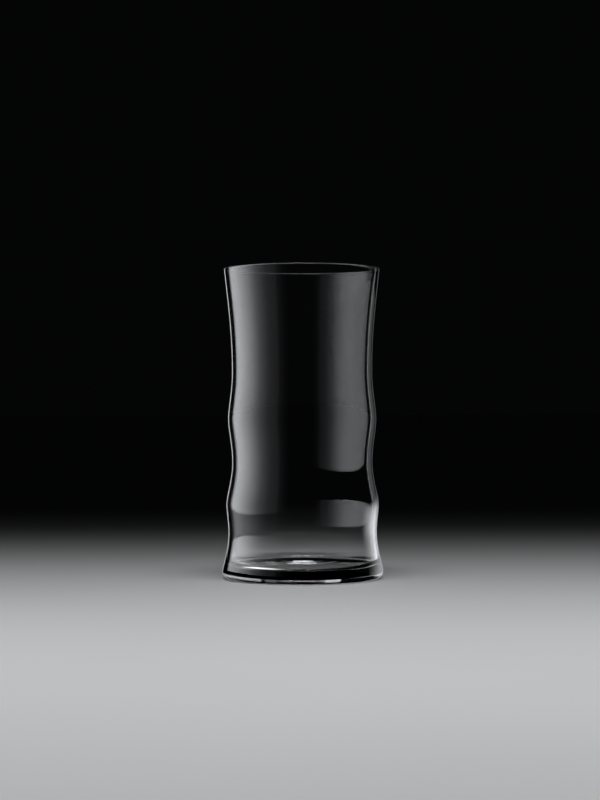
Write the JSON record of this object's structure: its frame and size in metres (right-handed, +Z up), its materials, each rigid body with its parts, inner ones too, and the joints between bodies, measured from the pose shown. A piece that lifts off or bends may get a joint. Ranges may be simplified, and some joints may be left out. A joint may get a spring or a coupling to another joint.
{
  "type": "water glass",
  "caption": "Clear blown tumbler whose thin wall swells between soft waists, with a flared lip and a flared foot, for water and other cold drinks.",
  "frame": {"origin": "centre of the resting plane, on the axis of the glass", "axes": "+Z up along the axis and out of the mouth; +X and +Y are level, in any direction, because the glass is round"},
  "size_m": [0.073, 0.073, 0.14],
  "materials": {
    "clear_glass": "clear, colourless, fire-polished, with a faint cool tint in thick glass"
  },
  "bodies": {
    "root": {"base": "clear_glass", "wall": "clear_glass", "rim": "clear_glass"}
  },
  "joints": []
}
